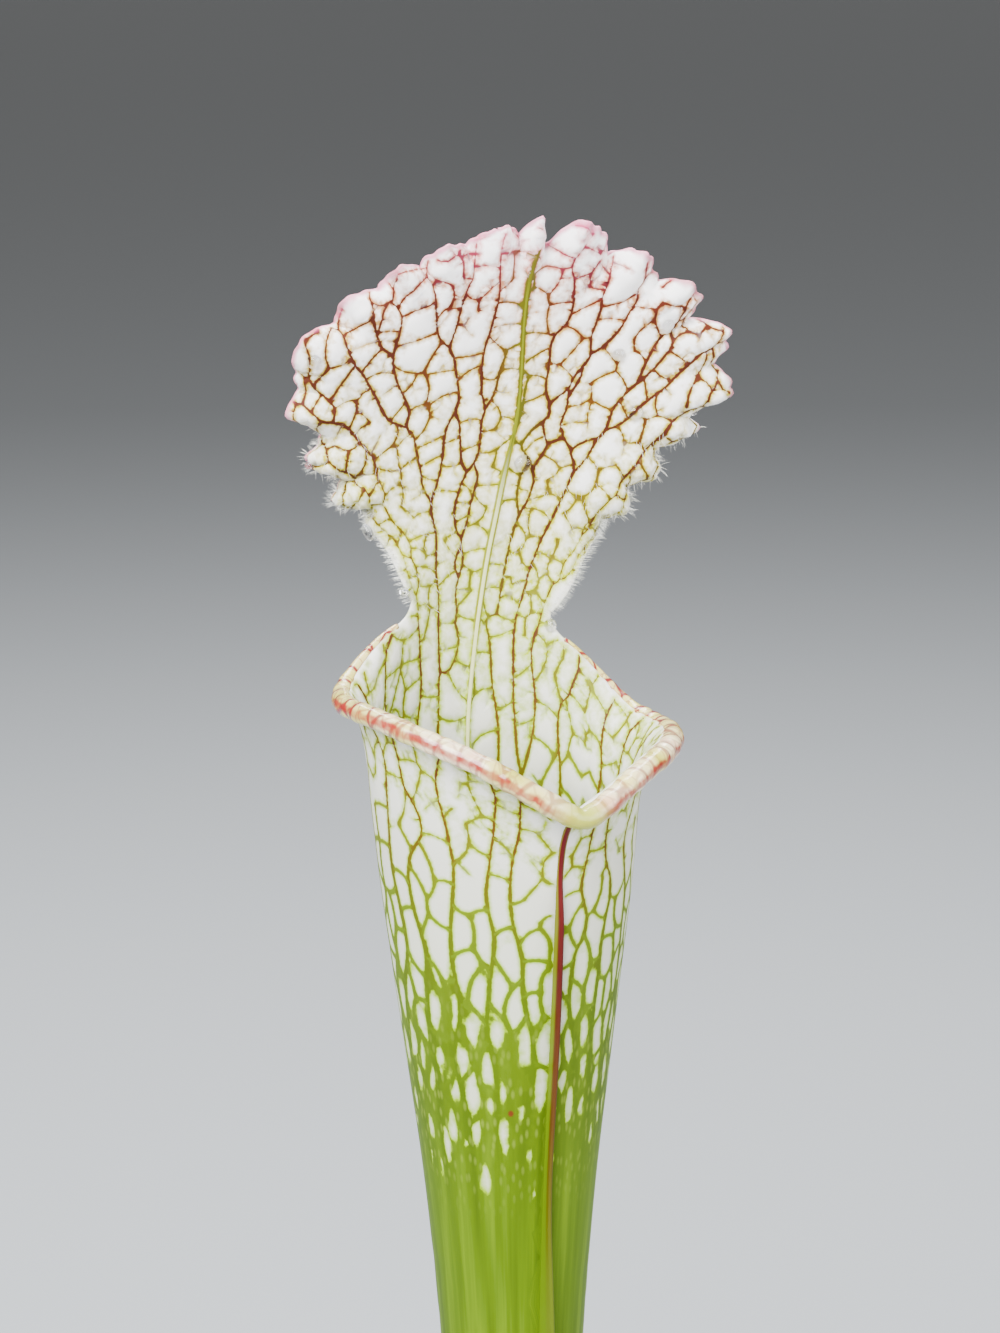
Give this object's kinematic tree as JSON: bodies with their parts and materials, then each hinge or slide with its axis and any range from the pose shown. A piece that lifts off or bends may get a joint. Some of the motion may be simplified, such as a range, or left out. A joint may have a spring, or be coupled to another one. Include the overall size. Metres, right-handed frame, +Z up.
{
  "type": "potted white pitcher plant",
  "caption": "Carnivorous pitcher plant in a round tapered pot: a tall hollow trumpet leaf with a rolled lip, a keel down its front and an upright frilled hood over its mouth.",
  "frame": {"origin": "centre of the pot's underside, on the surface that the pot stands on", "axes": "+Z up through the pot to the hood, -Y towards the side that the leaf's mouth and keel face, +X to the right seen from there"},
  "size_m": [0.114, 0.114, 0.3958],
  "materials": {
    "pot_plastic": "satin",
    "peat": "matte",
    "rhizome": "matte",
    "leaf": "satin"
  },
  "bodies": {
    "root": {"pot": "pot_plastic", "peat": "peat", "rhizome": "rhizome", "pitcher": "leaf"}
  },
  "joints": []
}
